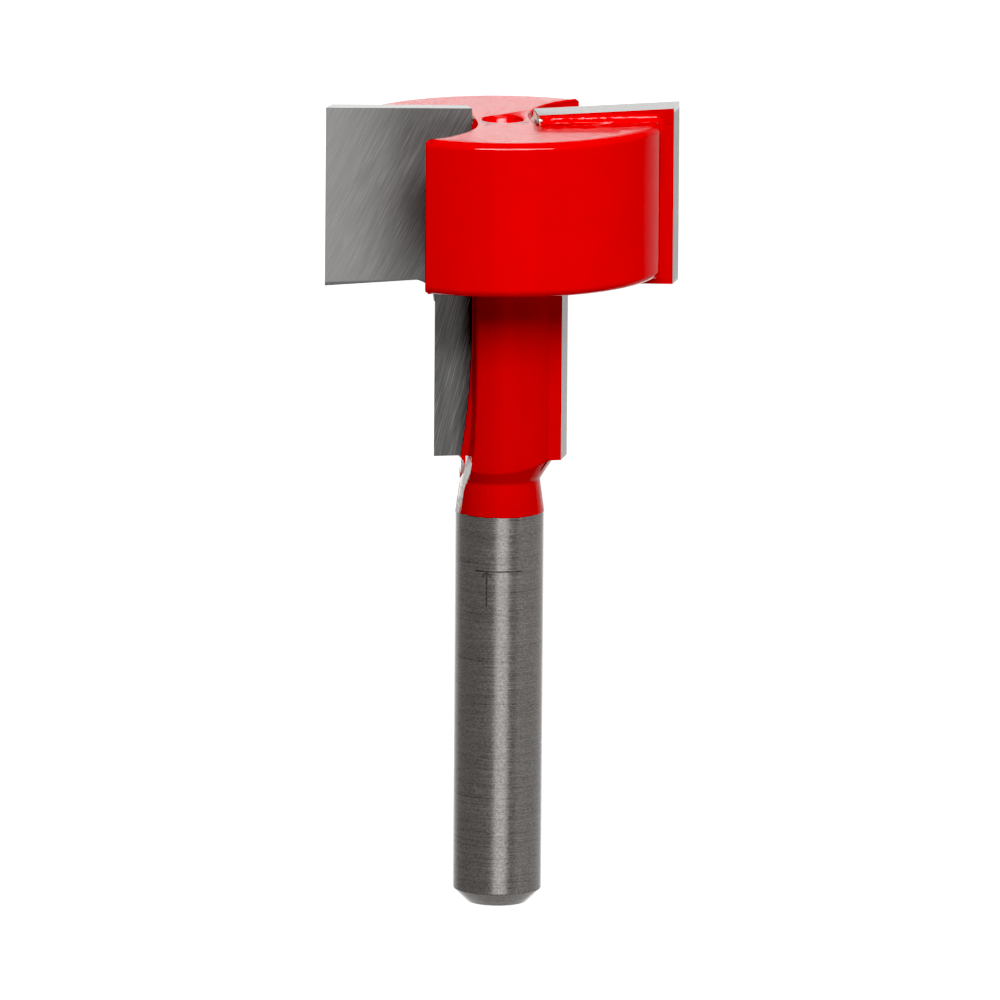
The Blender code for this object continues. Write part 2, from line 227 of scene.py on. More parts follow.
# Glossy red coating: slightly uneven, with fine specks
paint = {
    "colour": (0.74, 0.0015, 0.001),
    "deepColour": (0.68, 0.0012, 0.001),
    "speckColour": (0.54, 0.002, 0.001),
    "speckShare": 0.25,
    "neckShadeColour": (0.57, 0.0012, 0.001),  # painted shade: a deeper red, for the neck under the head and the backs of the cutters
    "neckShadeAndGrain": 0.85,  # how much painted shade the neck gets; the same share makes its coating grainier and less glossy
    "neckFade": (-0.3, 0.2),  # from the underside of the head
    "backShade": 0.9,  # painted shade on the backs of the cutters
    "backFade": (0.03, 0.06),
    "endFade": (-0.25, -0.1),  # from the end face
    "roughness": (0.13, 0.19),
    "ior": 1.18,
    "coatIor": 1.7,  # top gloss, which shows at a low angle
    "coatRoughness": 0.1,
    "glossAngles": (0.74, 0.78),  # where it begins
    "edgeAngles": (0.87, 0.91),  # and ends, just before an edge
    "cloudScale": 0.35,
    "cloudLimits": (0.3, 0.7),
    "peelHeight": 0.012 * mm,
    "peelScale": 2.6,
    "peelShare": 0.35,
    "grainSize": 5.5,  # bumps to the mm
    "grainShare": 0.5,
    "smoothGrain": 0.6,  # on the lobes
    "roughGrain": 6.0,  # on the neck and the end face
    "speckScale": 2.2,
    "speckLimits": (0.05, 0.09),
    "speckHeight": 0.15,
    "lineHeight": 28.32,  # lower edge of the coating, on the shank
    "lineWander": 0.09,
    "lineScale": 2.4,
    "lineBlur": 0.012,
}


def makePaintGroup():
    group, given, out = newGroup(
        "RedCoating",
        [("Vector", "NodeSocketVector", None), ("Seed", "NodeSocketFloat", 0.0)],
        [("Color", "NodeSocketColor"), ("Roughness", "NodeSocketFloat"), ("Height", "NodeSocketFloat")],
    )
    point = vectorMath(group, "ADD", given["Vector"], given["Seed"])
    cloud = addNoise(group, point, paint["cloudScale"], 3.0)[0]
    peel = addNoise(group, point, paint["peelScale"])[0]
    grain = addNoise(group, point, paint["grainSize"], 3.0, 0.6)[0]
    inputs = {"Vector": point, "Scale": paint["speckScale"]}
    speck = addNode(group, "ShaderNodeTexVoronoi", None, inputs).outputs["Distance"]
    dot = remap(group, speck, *paint["speckLimits"], 1.0, 0.0)
    colour = mixColours(group, cloud, paint["deepColour"], paint["colour"])
    specked = doMath(group, "MULTIPLY", dot, paint["speckShare"])
    colour = mixColours(group, specked, colour, paint["speckColour"])
    group.links.new(colour, out["Color"])
    roughness = remap(group, cloud, *paint["cloudLimits"], *paint["roughness"])
    group.links.new(roughness, out["Roughness"])
    height = doMath(group, "MULTIPLY", grain, paint["grainShare"])
    height = doMath(group, "MULTIPLY_ADD", dot, paint["speckHeight"], height)
    height = doMath(group, "MULTIPLY_ADD", peel, paint["peelShare"], height)
    group.links.new(height, out["Height"])
    return group


def lowAngleGloss(tree, painted, normal, angles):
    facing = faceAway(tree, normal)
    edgeOn = remap(tree, facing, *paint["edgeAngles"], 1.0, 0.0)
    glossy = doMath(tree, "MULTIPLY", remap(tree, facing, *angles), edgeOn)
    return doMath(tree, "MULTIPLY", glossy, painted)


paintGroup = makePaintGroup()


# Steel of the shank, brushed round its axis
steel = {
    "colour": (0.09, 0.084, 0.08),
    "brightColour": (0.133, 0.126, 0.121),
    "brightLimits": (0.3, 0.75),
    "darkColour": (0.03, 0.028, 0.027),
    "deepShare": 0.65,
    "rimHighlightColour": (0.72, 0.72, 0.70),  # painted highlight, where the eye grazes it
    "rimHighlightAngles": (0.7, 0.95),
    "smearScale": 0.5,
    "smearShare": 0.3,
    "grainSize": 10.0,
    "grainHeight": 0.6,
    "grainLimits": (0.35, 0.7),
    "grainShare": 0.33,
    "grainColour": (0.3, 0.288, 0.28),
    "roughness": (0.19, 0.34),
    "stretch": (0.05, 0.05, 4.0),
    "fine": 4.5,
    "markHeight": 0.002 * mm,
}


# Line the shank is pushed in to, with an arrow that points at it
etching = {
    "height": 24.5,  # mm from the shank end
    "slope": -0.002,
    "left": -1.73,
    "right": 1.59,
    "leader": -0.9,
    "leaderStart": 0.05,
    "leaderLength": 2.55,
    "arrowLength": 0.42,
    "arrowSpread": 0.75,
    "width": 0.054,
    "raggedness": 5.0,
    "tone": (0.034, 0.032, 0.031),
    "roughness": 0.6,
    "turn": 9.3,  # degrees about the shank
}


def etchedMask(tree, point):
    inputs = {"Vector": point, "Rotation": (0.0, 0.0, math.radians(etching["turn"]))}
    turned = addNode(tree, "ShaderNodeMapping", {"vector_type": "POINT"}, inputs).outputs[0]
    across, away, up = splitPoint(tree, turned)
    ragged = addNoise(tree, point, etching["raggedness"])[0]
    width = doMath(tree, "MULTIPLY", ragged, etching["width"] * 2)

    def within(value, low, high):
        above = doMath(tree, "GREATER_THAN", value, low)
        return doMath(tree, "MULTIPLY", above, doMath(tree, "LESS_THAN", value, high))

    def near(value):
        return doMath(tree, "LESS_THAN", doMath(tree, "ABSOLUTE", value), width)

    level = doMath(tree, "MULTIPLY_ADD", across, -etching["slope"], up)
    below = doMath(tree, "SUBTRACT", etching["height"], level)
    line = doMath(tree, "MULTIPLY", near(below), within(across, etching["left"], etching["right"]))
    aside = doMath(tree, "SUBTRACT", across, etching["leader"])
    onLeader = within(below, etching["leaderStart"], etching["leaderLength"])
    leader = doMath(tree, "MULTIPLY", near(aside), onLeader)
    barb = doMath(tree, "MULTIPLY_ADD", below, -etching["arrowSpread"], doMath(tree, "ABSOLUTE", aside))
    onArrow = within(below, etching["leaderStart"], etching["arrowLength"])
    barbs = doMath(tree, "MULTIPLY", near(barb), onArrow)
    marked = doMath(tree, "MAXIMUM", doMath(tree, "MAXIMUM", line, leader), barbs)
    return doMath(tree, "MULTIPLY", marked, doMath(tree, "LESS_THAN", away, 0.0))


def brushedToneAndRimHighlight(tree, point, brushed, speckle):
    tone = remap(tree, brushed["Marks"], *steel["brightLimits"])
    tone = mixColours(tree, tone, steel["colour"], steel["brightColour"])
    smear = addNoise(tree, point, steel["smearScale"], 3.0)[0]
    tone = mixColours(tree, doMath(tree, "MULTIPLY", smear, steel["smearShare"]), tone, steel["colour"])
    deep = doMath(tree, "MULTIPLY", brushed["Deep"], steel["deepShare"])
    tone = mixColours(tree, deep, tone, steel["darkColour"])
    speckled = remap(tree, speckle, *steel["grainLimits"], 0.0, steel["grainShare"])
    tone = mixColours(tree, speckled, tone, steel["grainColour"])
    # Painted highlight: a light rim where the eye grazes the steel
    return mixColours(tree, remap(tree, faceAway(tree), *steel["rimHighlightAngles"]), tone, steel["rimHighlightColour"])


def makeBodyMaterial():
    material, tree, shader = newMaterial("redCoatedSteel")
    point = bitPoint(tree)
    z = splitPoint(tree, point)[2]
    wander = addNoise(tree, point, paint["lineScale"], 5.0)[0]
    edge = doMath(tree, "MULTIPLY_ADD", wander, paint["lineWander"] * 2, paint["lineHeight"])
    above = doMath(tree, "SUBTRACT", z, edge)
    painted = remap(tree, above, -paint["lineBlur"], paint["lineBlur"])

    # Bare steel
    inputs = {"Vector": point, "Stretch": steel["stretch"], "Fine": steel["fine"]}
    brushed = useGroup(tree, marksGroup, inputs)
    speckle = addNoise(tree, point, steel["grainSize"])[0]
    etched = etchedMask(tree, point)
    tone = mixColours(tree, etched, brushedToneAndRimHighlight(tree, point, brushed, speckle), etching["tone"])
    rough = remap(tree, brushed["Marks"], *toolMarks["spread"], *steel["roughness"])
    rough = mixValues(tree, etched, rough, etching["roughness"])
    marked = doMath(tree, "MULTIPLY_ADD", speckle, steel["grainHeight"], brushed["Marks"])
    marked = doMath(tree, "MULTIPLY", marked, steel["markHeight"] / paint["peelHeight"])

    # Coating, with painted shade on the neck and on the flat backs of the cutters, and rougher on the
    # neck and the end face
    coat = useGroup(tree, paintGroup, {"Vector": point})
    onNeck = fadeFrom(tree, z, bit["headHeight"], paint["neckFade"], paint["neckShadeAndGrain"], 0.0)
    behind = doMath(tree, "SUBTRACT", splitPoint(tree, halfPoint(tree, point))[1], backY)
    offBack = doMath(tree, "ABSOLUTE", behind)
    shadedBack = remap(tree, offBack, *paint["backFade"], paint["backShade"], 0.0)
    coatedWithShade = mixColours(tree, doMath(tree, "MAXIMUM", onNeck, shadedBack), coat["Color"], paint["neckShadeColour"])
    onEnd = fadeFrom(tree, z, bit["endHeight"], paint["endFade"])
    smooth = doMath(tree, "SUBTRACT", 1.0, doMath(tree, "MAXIMUM", onNeck, onEnd), 0.0, True)
    grainy = mixValues(tree, smooth, paint["roughGrain"], paint["smoothGrain"])
    height = mixValues(tree, painted, marked, doMath(tree, "MULTIPLY", coat["Height"], grainy))
    normal = bumpNormal(tree, height, paint["peelHeight"])
    glossy = doMath(tree, "SUBTRACT", painted, onNeck, 0.0, True)
    setShader(
        tree,
        shader,
        {
            "Base Color": mixColours(tree, painted, tone, coatedWithShade),
            "Metallic": doMath(tree, "SUBTRACT", 1.0, painted),
            "Roughness": mixValues(tree, painted, rough, coat["Roughness"]),
            "IOR": paint["ior"],
            "Coat Weight": lowAngleGloss(tree, glossy, normal, paint["glossAngles"]),
            "Coat IOR": paint["coatIor"],
            "Coat Roughness": paint["coatRoughness"],
            "Normal": normal,
        },
    )
    return material


# Steel ground bare below the small cutters
ground = {
    "colour": (0.66, 0.64, 0.62),
    "dullColour": (0.36, 0.345, 0.335),
    "limits": (0.3, 0.6),
    "metal": 0.4,
    "roughness": (0.34, 0.5),
    "stretch": (0.3, 0.08, 1.6),
    "fine": 4.0,
    "markHeight": 0.003 * mm,
}


def makeGroundSteel():
    material, tree, shader = newMaterial("groundSteel")
    inputs = {"Vector": bitPoint(tree), "Stretch": ground["stretch"], "Fine": ground["fine"]}
    marks = useGroup(tree, marksGroup, inputs)["Marks"]
    bright = remap(tree, marks, *ground["limits"])
    setShader(
        tree,
        shader,
        {
            "Base Color": mixColours(tree, bright, ground["dullColour"], ground["colour"]),
            "Metallic": ground["metal"],
            "Roughness": remap(tree, marks, *toolMarks["spread"], *ground["roughness"]),
            "Normal": bumpNormal(tree, marks, ground["markHeight"]),
        },
    )
    return material


# Carbide, on the cutting faces
faceLook = {
    # Painted shade: the faces are drawn darker towards the axis, where the lobes shade them
    "outer": (0.132, 0.13, 0.127),
    "inner": (0.071, 0.071, 0.07),
    "fade": (6.4, 12.7),  # mm from the axis, over which the painted shade towards the axis fades out
    "largeFade": (-0.5, -0.3),  # from the underside of the head
    "small": (0.034, 0.034, 0.033),  # painted shade: the small cutters drawn darker, as they sit in shade under the head
    "smallShade": 0.75,  # darker still, towards the neck
    "smallFade": (2.2, 3.8),
    "scratch": (0.26, 0.257, 0.25),
    "scratchLimits": (0.4, 0.8),
    "scratchShare": 0.45,
    "scratchAngle": 62.0,  # degrees up from square to the shank
    "smallAngle": 76.0,
    "stretch": (0.035, 1.0, 2.6),
    "fine": 9.0,
    "bend": 0.6,
    "metal": 0.35,
    "roughness": (0.36, 0.48),
    "markHeight": 0.003 * mm,
}


def onLargeCutter(tree, up):
    return fadeFrom(tree, up, bit["headHeight"], faceLook["largeFade"])


def makeFaceCarbide():
    material, tree, shader = newMaterial("groundCarbideFace")
    point = halfPoint(tree, bitPoint(tree))
    across, _, up = splitPoint(tree, point)
    onLarge = onLargeCutter(tree, up)
    steep, shallow = math.radians(faceLook["smallAngle"]), math.radians(faceLook["scratchAngle"])
    angle = doMath(tree, "MULTIPLY_ADD", onLarge, shallow - steep, steep)
    inputs = {
        "Vector": point,
        "Turn": addNode(tree, "ShaderNodeCombineXYZ", None, {1: angle}).outputs[0],
        "Stretch": faceLook["stretch"],
        "Fine": faceLook["fine"],
        "Bend": faceLook["bend"],
    }
    marks = useGroup(tree, marksGroup, inputs)["Marks"]
    # Painted shade: darker towards the axis, darker on the small cutters, and darker still towards the
    # neck
    tone = mixColours(tree, remap(tree, across, *faceLook["fade"]), faceLook["inner"], faceLook["outer"])
    tone = mixColours(tree, onLarge, faceLook["small"], tone)
    scratched = remap(tree, marks, *faceLook["scratchLimits"], 0.0, faceLook["scratchShare"])
    tone = mixColours(tree, scratched, tone, faceLook["scratch"])
    shade = remap(tree, across, *faceLook["smallFade"], faceLook["smallShade"], 1.0)
    tone = mixColours(tree, 1.0, tone, doMath(tree, "MAXIMUM", onLarge, shade), "MULTIPLY")
    setShader(
        tree,
        shader,
        {
            "Base Color": tone,
            "Metallic": faceLook["metal"],
            "Roughness": remap(tree, marks, *toolMarks["spread"], *faceLook["roughness"]),
            "Normal": bumpNormal(tree, marks, faceLook["markHeight"]),
        },
    )
    return material


# Carbide, on the relieved sides and ends
flankLook = {
    "colour": (0.14, 0.143, 0.138),
    "bright": (0.27, 0.273, 0.265),
    "brightLimits": (0.25, 0.8),
    "brightShare": 0.35,
    "large": (0.68, 0.685, 0.69),  # painted shade: the large cutters' flanks drawn darker than the small ones
    "endLitColour": (0.42, 0.428, 0.415),  # painted light: the relief at the cutting end drawn lighter
    "endHeights": (57.2, 57.5),
    "stretch": (1.0, 1.0, 0.08),
    "fine": 5.0,
    "roughness": (0.22, 0.36),
    "markHeight": 0.002 * mm,
}


def makeFlankCarbide():
    material, tree, shader = newMaterial("groundCarbideFlank")
    point = halfPoint(tree, bitPoint(tree))
    up = splitPoint(tree, point)[2]
    inputs = {"Vector": point, "Stretch": flankLook["stretch"], "Fine": flankLook["fine"]}
    marks = useGroup(tree, marksGroup, inputs)["Marks"]
    bright = remap(tree, marks, *flankLook["brightLimits"], 0.0, flankLook["brightShare"])
    tone = mixColours(tree, bright, flankLook["colour"], flankLook["bright"])
    # Painted shade on the large cutters' flanks
    tone = mixColours(tree, onLargeCutter(tree, up), tone, flankLook["large"], "MULTIPLY")
    # Painted light on the relief at the cutting end
    tone = mixColours(tree, remap(tree, up, *flankLook["endHeights"]), tone, flankLook["endLitColour"])
    setShader(
        tree,
        shader,
        {
            "Base Color": tone,
            "Metallic": 1.0,
            "Roughness": remap(tree, marks, *toolMarks["spread"], *flankLook["roughness"]),
            "Normal": bumpNormal(tree, marks, flankLook["markHeight"]),
        },
    )
    return material


# Silver solder, mostly under the coating
solder = {
    "colour": (0.62, 0.56, 0.50),
    "dullColour": (0.20, 0.16, 0.14),
    "dullLimits": (0.35, 0.6),
    "roughness": 0.33,
    "lumpHeight": 0.03 * mm,
    "coatRelief": 0.35,
    "glossAngles": (0.3, 0.42),
    "blotchScale": 2.1,
    "blotchDetail": 6.0,
    "blotchReach": 1.6,
    "bareReach": (3.0, 3.25),  # bare of paint this far from the axis
    "bareHeights": (56.2, 56.5),  # and above this
    "seed": 7.0,
}


def makeSolderMaterial():
    material, tree, shader = newMaterial("silverSolder")
    whole = bitPoint(tree)
    across, _, up = splitPoint(tree, halfPoint(tree, whole))
    coat = useGroup(tree, paintGroup, {"Vector": whole, "Seed": solder["seed"]})
    blotch = addNoise(tree, whole, solder["blotchScale"], solder["blotchDetail"])[0]
    reach = doMath(tree, "MULTIPLY_ADD", blotch, solder["blotchReach"], across)
    beyond = remap(tree, reach, *solder["bareReach"])
    below = remap(tree, up, *solder["bareHeights"], 1.0, 0.0)
    painted = doMath(tree, "MAXIMUM", beyond, below)
    tone = remap(tree, blotch, *solder["dullLimits"])
    tone = mixColours(tree, tone, solder["dullColour"], solder["colour"])
    rise = doMath(tree, "MULTIPLY_ADD", coat["Height"], solder["coatRelief"], blotch)
    normal = bumpNormal(tree, rise, solder["lumpHeight"])
    setShader(
        tree,
        shader,
        {
            "Base Color": mixColours(tree, painted, tone, coat["Color"]),
            "Metallic": doMath(tree, "SUBTRACT", 1.0, painted),
            "Roughness": mixValues(tree, painted, solder["roughness"], coat["Roughness"]),
            "IOR": paint["ior"],
            "Coat Weight": lowAngleGloss(tree, painted, normal, solder["glossAngles"]),
            "Coat IOR": paint["coatIor"],
            "Coat Roughness": paint["coatRoughness"],
            "Normal": normal,
        },
    )
    return material


bodyMaterial = makeBodyMaterial()
groundSteel = makeGroundSteel()
faceCarbide = makeFaceCarbide()
flankCarbide = makeFlankCarbide()
solderMaterial = makeSolderMaterial()
print("materials ready")


# Shaping, the same for every piece
shaping = {
    "flatAngle": 0.4,  # degrees, faces closer to one plane than this become one
    "sharpAngle": 28.0,  # sharper edges are rounded
    "smoothAngle": 32.0,  # less sharp edges are drawn smooth
    "flatWeight": 80,
    "cutMargin": 0.0001,
}


def onlyVerts(items):
    return [item for item in items if isinstance(item, bmesh.types.BMVert)]


def onlyEdges(items):
    return [item for item in items if isinstance(item, bmesh.types.BMEdge)]


def bitBmesh(node, merge):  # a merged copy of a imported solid, upright in the bit's own frame, in mm
    bm = bmesh.new()
    bm.from_mesh(frame["nodes"][node].data)
    bmesh.ops.transform(bm, matrix=Matrix.Scale(1 / mm, 4) @ bitPlace.inverted(), verts=bm.verts)
    bmesh.ops.remove_doubles(bm, verts=bm.verts, dist=merge)
    flat = math.radians(shaping["flatAngle"])
    bmesh.ops.dissolve_limit(bm, angle_limit=flat, verts=bm.verts, edges=bm.edges)
    bm.normal_update()
    return bm


def sharpEdges(bm):
    limit = math.radians(shaping["sharpAngle"])
    return [e for e in bm.edges if e.is_manifold and abs(e.calc_face_angle_signed(0)) > limit]


def roundEdges(bm, width, steps):
    bmesh.ops.bevel(
        bm,
        geom=sharpEdges(bm),
        offset=width,
        offset_type="OFFSET",
        segments=steps,
        profile=0.5,
        affect="EDGES",
        clamp_overlap=False,
        material=-1,
    )


def toObject(bm, name):
    mesh = bpy.data.meshes.new(name)
    bm.to_mesh(mesh)
    bm.free()
    piece = bpy.data.objects.new(name, mesh)
    bpy.context.scene.collection.objects.link(piece)
    return piece


def applied(piece):  # the mesh with its modifiers made real
    bpy.context.view_layer.update()
    graph = bpy.context.evaluated_depsgraph_get()
    mesh = bpy.data.meshes.new_from_object(piece.evaluated_get(graph))
    bpy.data.objects.remove(piece)
    return mesh


def combine(first, operation, second):
    modifier = first.modifiers.new("combine", "BOOLEAN")
    modifier.operation = operation
    modifier.solver = "MANIFOLD"
    modifier.object = second
    mesh = applied(first)
    bpy.data.objects.remove(second)
    bm = bmesh.new()
    bm.from_mesh(mesh)
    return bm


def finishPiece(bm, name, node, materials, smoothBelow=shaping["smoothAngle"]):
    bmesh.ops.transform(bm, matrix=bitPlace @ Matrix.Scale(mm, 4), verts=bm.verts)
    shaped = toObject(bm, name + "Shape")
    for material in materials:
        shaped.data.materials.append(material)
    for face in shaped.data.polygons:
        face.use_smooth = True
    shaped.data.set_sharp_from_angle(angle=math.radians(smoothBelow))
    weighted = shaped.modifiers.new("flatFaces", "WEIGHTED_NORMAL")
    weighted.keep_sharp = True
    weighted.weight = shaping["flatWeight"]
    mesh = applied(shaped)
    mesh.name = name
    piece = bpy.data.objects.new(name, mesh)
    bpy.context.scene.collection.objects.link(piece)
    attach(piece, "root")
    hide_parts(node)
    print(name, len(mesh.polygons), "faces")


def sweepArc(bm, vert, centre, axis, degrees, steps):  # carries an outline on round an arc
    swept = bmesh.ops.spin(
        bm,
        geom=[vert],
        cent=centre,
        axis=axis,
        dvec=(0, 0, 0),
        angle=math.radians(degrees),
        steps=steps,
        use_merge=False,
        use_duplicate=False,
    )
    return onlyVerts(swept["geom_last"])[0]


def lineTo(bm, vert, place):
    end = bm.verts.new(place)
    bm.edges.new((vert, end))
    return end


def halfTurn(bm, verts):
    bmesh.ops.rotate(bm, cent=(0, 0, 0), matrix=Matrix.Rotation(math.pi, 3, "Z"), verts=verts)


def cutLevel(bm, height, openTop=False):
    bmesh.ops.bisect_plane(
        bm,
        geom=bm.verts[:] + bm.edges[:] + bm.faces[:],
        dist=shaping["cutMargin"],
        plane_co=(0, 0, height),
        plane_no=(0, 0, 1),
        clear_outer=openTop,
    )


# Head of the body, with its two lobes and gullets
head = {
    "lobeRadius": 11.44,
    "lobeShift": (0.5, 1.58),
    "lobeSteps": 72,
    "cornerRadius": 0.7,  # where a lobe meets the back of its cutter
    "cornerEnd": 84.0,  # degrees, just short of that back
    "cornerSteps": 6,
    "gulletRadius": 7.6,
    "gulletFloor": 1.96,
    "gulletLead": 0.5,
    "gulletSteps": 36,
    "pocket": 0.1,  # room for solder round a cutter
    "rim": 0.6,  # round on the rim of each lobe
    "softEdge": 0.13,  # every other edge, under the coating
    "roundSteps": 5,
    "merge": 0.001,
    "halfMerge": 0.01,  # between the two halves
    "margin": 0.02,
    "holeRadius": 1.5,
    "holeDepth": 4.2,
    "holePoint": 0.6,  # depth of the drill's point, in radii
    "holeChamfer": 0.07,
    "holeSteps": 72,
}


def circlesMeet(first, firstRadius, second, secondRadius):
    way = second - first
    span = way.length
    along = (span**2 + firstRadius**2 - secondRadius**2) / (2 * span)
    aside = math.sqrt(firstRadius**2 - along**2)
    unit = way / span
    return first + unit * along + Vector((-unit.y, unit.x)) * aside


def degreesAt(centre, point):
    return math.degrees(math.atan2(point[1] - centre[1], point[0] - centre[0]))


def makeHead():
    lobe = Vector(head["lobeShift"])
    radius = head["lobeRadius"]
    gulletRadius = head["gulletRadius"]
    gullet = Vector((head["gulletFloor"] + gulletRadius, head["gulletLead"] - bit["faceOffset"]))
    tip = circlesMeet(lobe, radius, -gullet, gulletRadius)
    if tip.y > 0:
        tip = circlesMeet(-gullet, gulletRadius, lobe, radius)
    seatY = backY - head["pocket"]
    pocketX = bit["largeInner"] - head["pocket"]
    cornerY = seatY - head["cornerRadius"]
    reach = radius - head["cornerRadius"]
    corner = Vector((lobe.x + math.sqrt(reach**2 - (cornerY - lobe.y) ** 2), cornerY))
    low = bit["headHeight"]

    # Outline of one half, then its copy turned by 180 degrees
    bm = bmesh.new()
    vert = bm.verts.new((tip.x, tip.y, low))
    upright = (0, 0, 1)
    start, touch = degreesAt(lobe, tip), degreesAt(lobe, corner)
    vert = sweepArc(bm, vert, (lobe.x, lobe.y, low), upright, touch - start, head["lobeSteps"])
    turn = head["cornerEnd"] - touch
    vert = sweepArc(bm, vert, (corner.x, corner.y, low), upright, turn, head["cornerSteps"])
    vert = lineTo(bm, vert, (corner.x, seatY, low))
    vert = lineTo(bm, vert, (pocketX, seatY, low))
    entry = gullet.x - math.sqrt(gulletRadius**2 - (gullet.y + bit["faceOffset"]) ** 2)
    vert = lineTo(bm, vert, (pocketX, -bit["faceOffset"], low))
    vert = lineTo(bm, vert, (entry, -bit["faceOffset"], low))
    start, stop = degreesAt(gullet, (entry, -bit["faceOffset"])), degreesAt(gullet, -tip)
    turn = (stop - start) % 360 - 360
    sweepArc(bm, vert, (gullet.x, gullet.y, low), upright, turn, head["gulletSteps"])
    bmesh.ops.remove_doubles(bm, verts=bm.verts, dist=head["merge"])
    other = bmesh.ops.duplicate(bm, geom=bm.verts[:] + bm.edges[:])["geom"]
    halfTurn(bm, onlyVerts(other))
    bmesh.ops.remove_doubles(bm, verts=bm.verts, dist=head["halfMerge"])
    base = bmesh.ops.contextual_create(bm, geom=bm.edges[:])["faces"]
    raised = bmesh.ops.extrude_face_region(bm, geom=base, use_keep_orig=True)["geom"]
    bmesh.ops.translate(bm, vec=(0, 0, bit["endHeight"] - low), verts=onlyVerts(raised))
    bmesh.ops.recalc_face_normals(bm, faces=bm.faces)

    # A full round on the rims of the lobes, and a soft edge everywhere else
    margin = head["margin"]
    weights = bm.edges.layers.float.new("bevel_weight_edge")
    for edge in sharpEdges(bm):
        edge[weights] = head["softEdge"] / head["rim"]
    for edge in bm.edges:
        a, b = (vert.co for vert in edge.verts)
        middle = (a + b) / 2
        if middle.y > 0:
            middle = Vector((-middle.x, -middle.y, middle.z))
        onLobe = abs((middle.xy - lobe).length - radius) < margin
        onCorner = (middle.xy - corner).length > head["cornerRadius"] - margin and middle.x > corner.x
        isLevel = abs(a.z - b.z) < head["halfMerge"]
        if isLevel and (onLobe or (onCorner and middle.y < seatY - head["halfMerge"])):
            edge[weights] = 1.0
    piece = toObject(bm, "headShape")
    rounded = piece.modifiers.new("rounded", "BEVEL")
    rounded.limit_method = "WEIGHT"
    rounded.width = head["rim"]
    rounded.segments = head["roundSteps"]
    rounded.use_clamp_overlap = False
    mesh = applied(piece)
    piece = bpy.data.objects.new("headRounded", mesh)
    bpy.context.scene.collection.objects.link(piece)
    return piece


def makeCentreHole():
    bm = bmesh.new()
    radius = head["holeRadius"]
    floor = bit["endHeight"] - head["holeDepth"]
    top = bit["endHeight"]
    chamfer = head["holeChamfer"]
    vert = bm.verts.new((0, 0, floor - radius * head["holePoint"]))
    for r, z in ((radius, floor), (radius, top - chamfer), (radius + 2 * chamfer, top + chamfer)):
        vert = lineTo(bm, vert, (r, 0, z))
    lineTo(bm, vert, (0, 0, top + chamfer))
    bmesh.ops.spin(
        bm,
        geom=bm.verts[:] + bm.edges[:],
        cent=(0, 0, 0),
        axis=(0, 0, 1),
        dvec=(0, 0, 0),
        angle=math.radians(360),
        steps=head["holeSteps"],
        use_merge=True,
        use_duplicate=False,
    )
    bmesh.ops.remove_doubles(bm, verts=bm.verts, dist=shaping["cutMargin"])
    bmesh.ops.recalc_face_normals(bm, faces=bm.faces)
    return toObject(bm, "centreHole")


# Shank and neck of the body, up into the head
neck = {
    "floor": 2.01,  # neck gullet to the axis
    "wheelRadius": 27.3,  # disc that ground the gullet and runs out of it
    "wheelHeight": 3.7,  # start of the run-out, above the foot of the small cutters
    "lean": 4.1,
    "bareGap": 0.04,  # the coating ends this far below the foot
    "bareDepth": 0.065,
    "bareRun": 1.0,  # and below the top of the shank, at most
    "edgeRound": 0.06,
    "edgeSteps": 3,
    "merge": 0.03,
    "join": 0.02,  # its top, below the underside of the head
    "overlap": 0.8,
    "bodyMerge": 0.002,
}


def onRunOut(place):  # ground bare with the cutters, below their foot
    side = 1 if place.x > 0 else -1
    ahead = place.y * side + bit["faceOffset"]
    drop = bit["footHeight"] + neck["wheelHeight"] - place.z
    top = bit["footHeight"] - neck["bareGap"]
    if place.z > top or place.z < bit["shankLength"] - neck["bareRun"]:
        return False
    wall = neck["floor"] + neck["wheelRadius"] - math.sqrt(neck["wheelRadius"] ** 2 - drop**2)
    wall += ahead * math.tan(math.radians(neck["lean"]))
    onFloor = abs(ahead) < neck["bareDepth"] and abs(place.x) > wall - neck["bareDepth"]
    return onFloor or (ahead > 0 and abs(abs(place.x) - wall) < neck["bareDepth"])


def makeNeck():
    bm = bitBmesh("steel_body", neck["merge"])
    cutLevel(bm, bit["headHeight"] - neck["join"], openTop=True)
    cutLevel(bm, bit["footHeight"] - neck["bareGap"])
    roundEdges(bm, neck["edgeRound"], neck["edgeSteps"])
    rim = [edge for edge in bm.edges if edge.is_boundary]
    raised = bmesh.ops.extrude_edge_only(bm, edges=rim)["geom"]
    bmesh.ops.translate(bm, vec=(0, 0, neck["overlap"]), verts=onlyVerts(raised))
    bmesh.ops.contextual_create(bm, geom=onlyEdges(raised))
    bmesh.ops.recalc_face_normals(bm, faces=bm.faces)
    return toObject(bm, "neckShape")


def makeBody():
    materials = [bodyMaterial, groundSteel]
    whole = toObject(combine(makeNeck(), "UNION", makeHead()), "wholeBody")
    bm = combine(whole, "DIFFERENCE", makeCentreHole())
    bmesh.ops.remove_doubles(bm, verts=bm.verts, dist=neck["bodyMerge"])
    bmesh.ops.triangulate(bm, faces=bm.faces)
    for face in bm.faces:
        if onRunOut(face.calc_center_median()):
            face.material_index = materials.index(groundSteel)
    finishPiece(bm, "routerBody", "steel_body", materials)


# Cutters
carbide = {
    "edgeRound": 0.025,
    "edgeSteps": 2,
    "merge": 0.002,
    "square": 0.9,  # how squarely a face has to look along an axis
}


def makeCutter(name, node, side):
    materials = [faceCarbide, flankCarbide, bodyMaterial]
    bm = bitBmesh(node, carbide["merge"])
    square = carbide["square"]
    for face in bm.faces:
        facing = face.normal.y * side
        look = flankCarbide
        if facing > square:
            look = faceCarbide
        elif facing < -square or face.normal.x * side < -square:
            look = bodyMaterial
        face.material_index = materials.index(look)
    roundEdges(bm, carbide["edgeRound"], carbide["edgeSteps"])
    finishPiece(bm, name, node, materials)


